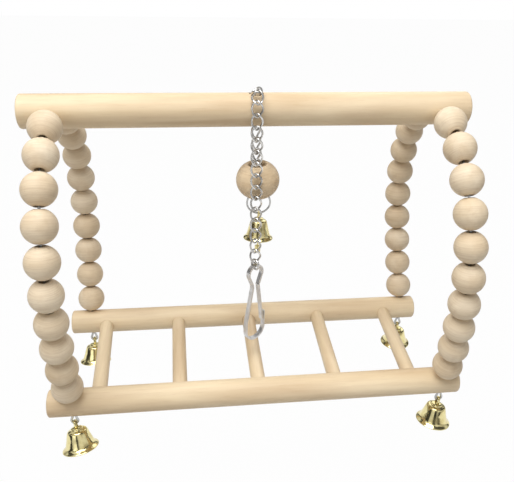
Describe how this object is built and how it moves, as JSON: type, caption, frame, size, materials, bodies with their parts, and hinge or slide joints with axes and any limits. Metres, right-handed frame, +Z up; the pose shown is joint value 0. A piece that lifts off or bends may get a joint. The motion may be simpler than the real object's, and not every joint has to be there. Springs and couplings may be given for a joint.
{
  "type": "hanging bird play gym",
  "caption": "Hanging wooden bird play gym: three dowel rails, rung ladder, beaded wire arches, curb chain with spring clip, hanging ball and bells.",
  "frame": {"origin": "top of the top rail at the chain's hole, where the gym hangs", "axes": "+X along the rails to the right, +Y away from the side with the long chain, +Z up"},
  "size_m": [0.224, 0.123, 0.1863],
  "materials": {
    "wood_natural": "smooth",
    "wood_bead": "smooth",
    "steel_wire": "polished",
    "nickel_chain": "polished",
    "nickel_satin": "satin",
    "brass_bell": "polished"
  },
  "bodies": {
    "frame": {"top_rail": "wood_natural", "front_rail": "wood_natural", "rear_rail": "wood_natural", "rungs": "wood_natural", "arch_wire_left": "steel_wire", "arch_wire_right": "steel_wire", "chain_over_rail": "nickel_chain", "lowest_beads": "wood_bead"},
    "bead_front_left_1": {"bead_front_left_1": "wood_bead"},
    "bead_front_left_2": {"bead_front_left_2": "wood_bead"},
    "bead_front_left_3": {"bead_front_left_3": "wood_bead"},
    "bead_front_left_4": {"bead_front_left_4": "wood_bead"},
    "bead_front_left_5": {"bead_front_left_5": "wood_bead"},
    "bead_front_left_6": {"bead_front_left_6": "wood_bead"},
    "bead_front_left_7": {"bead_front_left_7": "wood_bead"},
    "bead_front_left_8": {"bead_front_left_8": "wood_bead"},
    "bead_front_left_9": {"bead_front_left_9": "wood_bead"},
    "bead_front_right_1": {"bead_front_right_1": "wood_bead"},
    "bead_front_right_2": {"bead_front_right_2": "wood_bead"},
    "bead_front_right_3": {"bead_front_right_3": "wood_bead"},
    "bead_front_right_4": {"bead_front_right_4": "wood_bead"},
    "bead_front_right_5": {"bead_front_right_5": "wood_bead"},
    "bead_front_right_6": {"bead_front_right_6": "wood_bead"},
    "bead_front_right_7": {"bead_front_right_7": "wood_bead"},
    "bead_front_right_8": {"bead_front_right_8": "wood_bead"},
    "bead_front_right_9": {"bead_front_right_9": "wood_bead"},
    "bead_rear_left_1": {"bead_rear_left_1": "wood_bead"},
    "bead_rear_left_2": {"bead_rear_left_2": "wood_bead"},
    "bead_rear_left_3": {"bead_rear_left_3": "wood_bead"},
    "bead_rear_left_4": {"bead_rear_left_4": "wood_bead"},
    "bead_rear_left_5": {"bead_rear_left_5": "wood_bead"},
    "bead_rear_left_6": {"bead_rear_left_6": "wood_bead"},
    "bead_rear_left_7": {"bead_rear_left_7": "wood_bead"},
    "bead_rear_left_8": {"bead_rear_left_8": "wood_bead"},
    "bead_rear_left_9": {"bead_rear_left_9": "wood_bead"},
    "bead_rear_right_1": {"bead_rear_right_1": "wood_bead"},
    "bead_rear_right_2": {"bead_rear_right_2": "wood_bead"},
    "bead_rear_right_3": {"bead_rear_right_3": "wood_bead"},
    "bead_rear_right_4": {"bead_rear_right_4": "wood_bead"},
    "bead_rear_right_5": {"bead_rear_right_5": "wood_bead"},
    "bead_rear_right_6": {"bead_rear_right_6": "wood_bead"},
    "bead_rear_right_7": {"bead_rear_right_7": "wood_bead"},
    "bead_rear_right_8": {"bead_rear_right_8": "wood_bead"},
    "bead_rear_right_9": {"bead_rear_right_9": "wood_bead"},
    "chain_front": {"chain_front": "nickel_chain"},
    "clip_body": {"clip_body": "nickel_satin"},
    "clip_gate": {"clip_gate": "nickel_satin"},
    "chain_lower": {"chain_lower": "nickel_chain"},
    "ball": {"ball": "wood_natural"},
    "ring": {"ring": "steel_wire"},
    "bell_front_left": {"bell_front_left": "brass_bell"},
    "clapper_front_left": {"clapper_front_left": "brass_bell"},
    "bell_front_right": {"bell_front_right": "brass_bell"},
    "clapper_front_right": {"clapper_front_right": "brass_bell"},
    "bell_rear_left": {"bell_rear_left": "brass_bell"},
    "clapper_rear_left": {"clapper_rear_left": "brass_bell"},
    "bell_rear_right": {"bell_rear_right": "brass_bell"},
    "clapper_rear_right": {"clapper_rear_right": "brass_bell"},
    "bell_centre": {"bell_centre": "brass_bell"},
    "clapper_centre": {"clapper_centre": "brass_bell"}
  },
  "joints": [
    {"name": "bead_front_left_1_spin", "type": "hinge", "parent": "frame", "child": "bead_front_left_1", "pos_m": [-0.09751, -0.01609, -0.01153], "axis": [-0.0009, -0.9037, -0.4282], "continuous": true},
    {"name": "bead_front_left_2_spin", "type": "hinge", "parent": "frame", "child": "bead_front_left_2", "pos_m": [-0.09752, -0.02954, -0.02021], "axis": [-0.0013, -0.7626, -0.6469], "continuous": true},
    {"name": "bead_front_left_3_spin", "type": "hinge", "parent": "frame", "child": "bead_front_left_3", "pos_m": [-0.09755, -0.0403, -0.03206], "axis": [-0.0017, -0.5698, -0.8218], "continuous": true},
    {"name": "bead_front_left_4_spin", "type": "hinge", "parent": "frame", "child": "bead_front_left_4", "pos_m": [-0.09758, -0.04772, -0.04616], "axis": [-0.0019, -0.371, -0.9286], "continuous": true},
    {"name": "bead_front_left_5_spin", "type": "hinge", "parent": "frame", "child": "bead_front_left_5", "pos_m": [-0.09761, -0.05217, -0.06138], "axis": [-0.002, -0.1876, -0.9822], "continuous": true},
    {"name": "bead_front_left_6_spin", "type": "hinge", "parent": "frame", "child": "bead_front_left_6", "pos_m": [-0.09764, -0.05364, -0.07717], "axis": [-0.0021, 0.0026, -1], "continuous": true},
    {"name": "bead_front_left_7_spin", "type": "hinge", "parent": "frame", "child": "bead_front_left_7", "pos_m": [-0.09768, -0.05236, -0.09283], "axis": [-0.0021, 0.1293, -0.9916], "continuous": true},
    {"name": "bead_front_left_8_spin", "type": "hinge", "parent": "frame", "child": "bead_front_left_8", "pos_m": [-0.09771, -0.04986, -0.1082], "axis": [-0.002, 0.1913, -0.9815], "continuous": true},
    {"name": "bead_front_left_9_spin", "type": "hinge", "parent": "frame", "child": "bead_front_left_9", "pos_m": [-0.09774, -0.0464, -0.12337], "axis": [-0.002, 0.2525, -0.9676], "continuous": true},
    {"name": "bead_front_right_1_spin", "type": "hinge", "parent": "frame", "child": "bead_front_right_1", "pos_m": [0.0937, -0.01609, -0.01152], "axis": [0.0267, -0.9037, -0.4273], "continuous": true},
    {"name": "bead_front_right_2_spin", "type": "hinge", "parent": "frame", "child": "bead_front_right_2", "pos_m": [0.09425, -0.02954, -0.02018], "axis": [0.0403, -0.7626, -0.6456], "continuous": true},
    {"name": "bead_front_right_3_spin", "type": "hinge", "parent": "frame", "child": "bead_front_right_3", "pos_m": [0.09498, -0.0403, -0.03202], "axis": [0.0512, -0.5698, -0.8202], "continuous": true},
    {"name": "bead_front_right_4_spin", "type": "hinge", "parent": "frame", "child": "bead_front_right_4", "pos_m": [0.09586, -0.04772, -0.04609], "axis": [0.0579, -0.371, -0.9268], "continuous": true},
    {"name": "bead_front_right_5_spin", "type": "hinge", "parent": "frame", "child": "bead_front_right_5", "pos_m": [0.09681, -0.05217, -0.06128], "axis": [0.0612, -0.1876, -0.9803], "continuous": true},
    {"name": "bead_front_right_6_spin", "type": "hinge", "parent": "frame", "child": "bead_front_right_6", "pos_m": [0.0978, -0.05364, -0.07704], "axis": [0.0623, 0.0026, -0.9981], "continuous": true},
    {"name": "bead_front_right_7_spin", "type": "hinge", "parent": "frame", "child": "bead_front_right_7", "pos_m": [0.09877, -0.05236, -0.09267], "axis": [0.0618, 0.1293, -0.9897], "continuous": true},
    {"name": "bead_front_right_8_spin", "type": "hinge", "parent": "frame", "child": "bead_front_right_8", "pos_m": [0.09973, -0.04986, -0.108], "axis": [0.0612, 0.1913, -0.9796], "continuous": true},
    {"name": "bead_front_right_9_spin", "type": "hinge", "parent": "frame", "child": "bead_front_right_9", "pos_m": [0.10068, -0.0464, -0.12315], "axis": [0.0603, 0.2525, -0.9657], "continuous": true},
    {"name": "bead_rear_left_1_spin", "type": "hinge", "parent": "frame", "child": "bead_rear_left_1", "pos_m": [-0.09751, 0.01609, -0.01153], "axis": [-0.0009, 0.9037, -0.4282], "continuous": true},
    {"name": "bead_rear_left_2_spin", "type": "hinge", "parent": "frame", "child": "bead_rear_left_2", "pos_m": [-0.09752, 0.02954, -0.02021], "axis": [-0.0013, 0.7626, -0.6469], "continuous": true},
    {"name": "bead_rear_left_3_spin", "type": "hinge", "parent": "frame", "child": "bead_rear_left_3", "pos_m": [-0.09755, 0.0403, -0.03206], "axis": [-0.0017, 0.5698, -0.8218], "continuous": true},
    {"name": "bead_rear_left_4_spin", "type": "hinge", "parent": "frame", "child": "bead_rear_left_4", "pos_m": [-0.09758, 0.04772, -0.04616], "axis": [-0.0019, 0.371, -0.9286], "continuous": true},
    {"name": "bead_rear_left_5_spin", "type": "hinge", "parent": "frame", "child": "bead_rear_left_5", "pos_m": [-0.09761, 0.05217, -0.06138], "axis": [-0.002, 0.1876, -0.9822], "continuous": true},
    {"name": "bead_rear_left_6_spin", "type": "hinge", "parent": "frame", "child": "bead_rear_left_6", "pos_m": [-0.09764, 0.05364, -0.07717], "axis": [-0.0021, -0.0026, -1], "continuous": true},
    {"name": "bead_rear_left_7_spin", "type": "hinge", "parent": "frame", "child": "bead_rear_left_7", "pos_m": [-0.09768, 0.05236, -0.09283], "axis": [-0.0021, -0.1293, -0.9916], "continuous": true},
    {"name": "bead_rear_left_8_spin", "type": "hinge", "parent": "frame", "child": "bead_rear_left_8", "pos_m": [-0.09771, 0.04986, -0.1082], "axis": [-0.002, -0.1913, -0.9815], "continuous": true},
    {"name": "bead_rear_left_9_spin", "type": "hinge", "parent": "frame", "child": "bead_rear_left_9", "pos_m": [-0.09774, 0.0464, -0.12337], "axis": [-0.002, -0.2525, -0.9676], "continuous": true},
    {"name": "bead_rear_right_1_spin", "type": "hinge", "parent": "frame", "child": "bead_rear_right_1", "pos_m": [0.0937, 0.01609, -0.01152], "axis": [0.0267, 0.9037, -0.4273], "continuous": true},
    {"name": "bead_rear_right_2_spin", "type": "hinge", "parent": "frame", "child": "bead_rear_right_2", "pos_m": [0.09425, 0.02954, -0.02018], "axis": [0.0403, 0.7626, -0.6456], "continuous": true},
    {"name": "bead_rear_right_3_spin", "type": "hinge", "parent": "frame", "child": "bead_rear_right_3", "pos_m": [0.09498, 0.0403, -0.03202], "axis": [0.0512, 0.5698, -0.8202], "continuous": true},
    {"name": "bead_rear_right_4_spin", "type": "hinge", "parent": "frame", "child": "bead_rear_right_4", "pos_m": [0.09586, 0.04772, -0.04609], "axis": [0.0579, 0.371, -0.9268], "continuous": true},
    {"name": "bead_rear_right_5_spin", "type": "hinge", "parent": "frame", "child": "bead_rear_right_5", "pos_m": [0.09681, 0.05217, -0.06128], "axis": [0.0612, 0.1876, -0.9803], "continuous": true},
    {"name": "bead_rear_right_6_spin", "type": "hinge", "parent": "frame", "child": "bead_rear_right_6", "pos_m": [0.0978, 0.05364, -0.07704], "axis": [0.0623, -0.0026, -0.9981], "continuous": true},
    {"name": "bead_rear_right_7_spin", "type": "hinge", "parent": "frame", "child": "bead_rear_right_7", "pos_m": [0.09877, 0.05236, -0.09267], "axis": [0.0618, -0.1293, -0.9897], "continuous": true},
    {"name": "bead_rear_right_8_spin", "type": "hinge", "parent": "frame", "child": "bead_rear_right_8", "pos_m": [0.09973, 0.04986, -0.108], "axis": [0.0612, -0.1913, -0.9796], "continuous": true},
    {"name": "bead_rear_right_9_spin", "type": "hinge", "parent": "frame", "child": "bead_rear_right_9", "pos_m": [0.10068, 0.0464, -0.12315], "axis": [0.0603, -0.2525, -0.9657], "continuous": true},
    {"name": "chain_front_swing", "type": "hinge", "parent": "frame", "child": "chain_front", "pos_m": [-0.0005, -0.011, -0.00835], "axis": [-1, 0, 0], "range_deg": [0, 65]},
    {"name": "clip_swing", "type": "hinge", "parent": "chain_front", "child": "clip_body", "pos_m": [-0.0005, -0.01232, -0.09108], "axis": [-0.5736, 0.8192, 0], "range_deg": [-35, 35]},
    {"name": "gate_press", "type": "hinge", "parent": "clip_body", "child": "clip_gate", "pos_m": [0.00113, -0.01118, -0.10096], "axis": [-0.5736, 0.8192, 0], "range_deg": [0, 12]},
    {"name": "chain_lower_swing", "type": "hinge", "parent": "frame", "child": "chain_lower", "pos_m": [0, -0.0005, -0.01715], "axis": [0, 1, 0], "range_deg": [-25, 25]},
    {"name": "ball_spin", "type": "hinge", "parent": "chain_lower", "child": "ball", "pos_m": [0.00158, 0.00098, -0.04542], "axis": [-0.0557, -0.0522, 0.9971], "continuous": true},
    {"name": "ring_swing", "type": "hinge", "parent": "chain_lower", "child": "ring", "pos_m": [0.00198, 0.00135, -0.05255], "axis": [0.9984, -0.0029, 0.0556], "range_deg": [-2, 25]},
    {"name": "bell_front_left_swing", "type": "hinge", "parent": "frame", "child": "bell_front_left", "pos_m": [-0.0978, -0.03701, -0.16626], "axis": [1, 0, 0], "range_deg": [-27, 63]},
    {"name": "clapper_front_left_swing", "type": "hinge", "parent": "bell_front_left", "child": "clapper_front_left", "pos_m": [-0.09692, -0.03872, -0.17152], "axis": [0, 0.9511, -0.309], "range_deg": [-20, 20]},
    {"name": "bell_front_right_swing", "type": "hinge", "parent": "frame", "child": "bell_front_right", "pos_m": [0.1025, -0.03701, -0.16626], "axis": [1, 0, 0], "range_deg": [-39, 51]},
    {"name": "clapper_front_right_swing", "type": "hinge", "parent": "bell_front_right", "child": "clapper_front_right", "pos_m": [0.10182, -0.03759, -0.17178], "axis": [0, 0.9945, -0.1045], "range_deg": [-20, 20]},
    {"name": "bell_rear_left_swing", "type": "hinge", "parent": "frame", "child": "bell_rear_left", "pos_m": [-0.0978, 0.03701, -0.16626], "axis": [1, 0, 0], "range_deg": [-28, 62]},
    {"name": "clapper_rear_left_swing", "type": "hinge", "parent": "bell_rear_left", "child": "clapper_rear_left", "pos_m": [-0.0978, 0.03538, -0.17161], "axis": [0, 0.9563, -0.2924], "range_deg": [-20, 20]},
    {"name": "bell_rear_right_swing", "type": "hinge", "parent": "frame", "child": "bell_rear_right", "pos_m": [0.1025, 0.03701, -0.16626], "axis": [1, 0, 0], "range_deg": [-45, 45]},
    {"name": "clapper_rear_right_swing", "type": "hinge", "parent": "bell_rear_right", "child": "clapper_rear_right", "pos_m": [0.1025, 0.03701, -0.17186], "axis": [0, 1, 0], "range_deg": [-20, 20]},
    {"name": "bell_centre_swing", "type": "hinge", "parent": "ring", "child": "bell_centre", "pos_m": [0.00266, 0.00199, -0.06481], "axis": [0.9984, -0.0029, 0.0556], "range_deg": [-5, 40]},
    {"name": "clapper_centre_swing", "type": "hinge", "parent": "bell_centre", "child": "clapper_centre", "pos_m": [0.00247, 0.00141, -0.07038], "axis": [0, 0.9945, -0.1045], "range_deg": [-20, 20]}
  ]
}
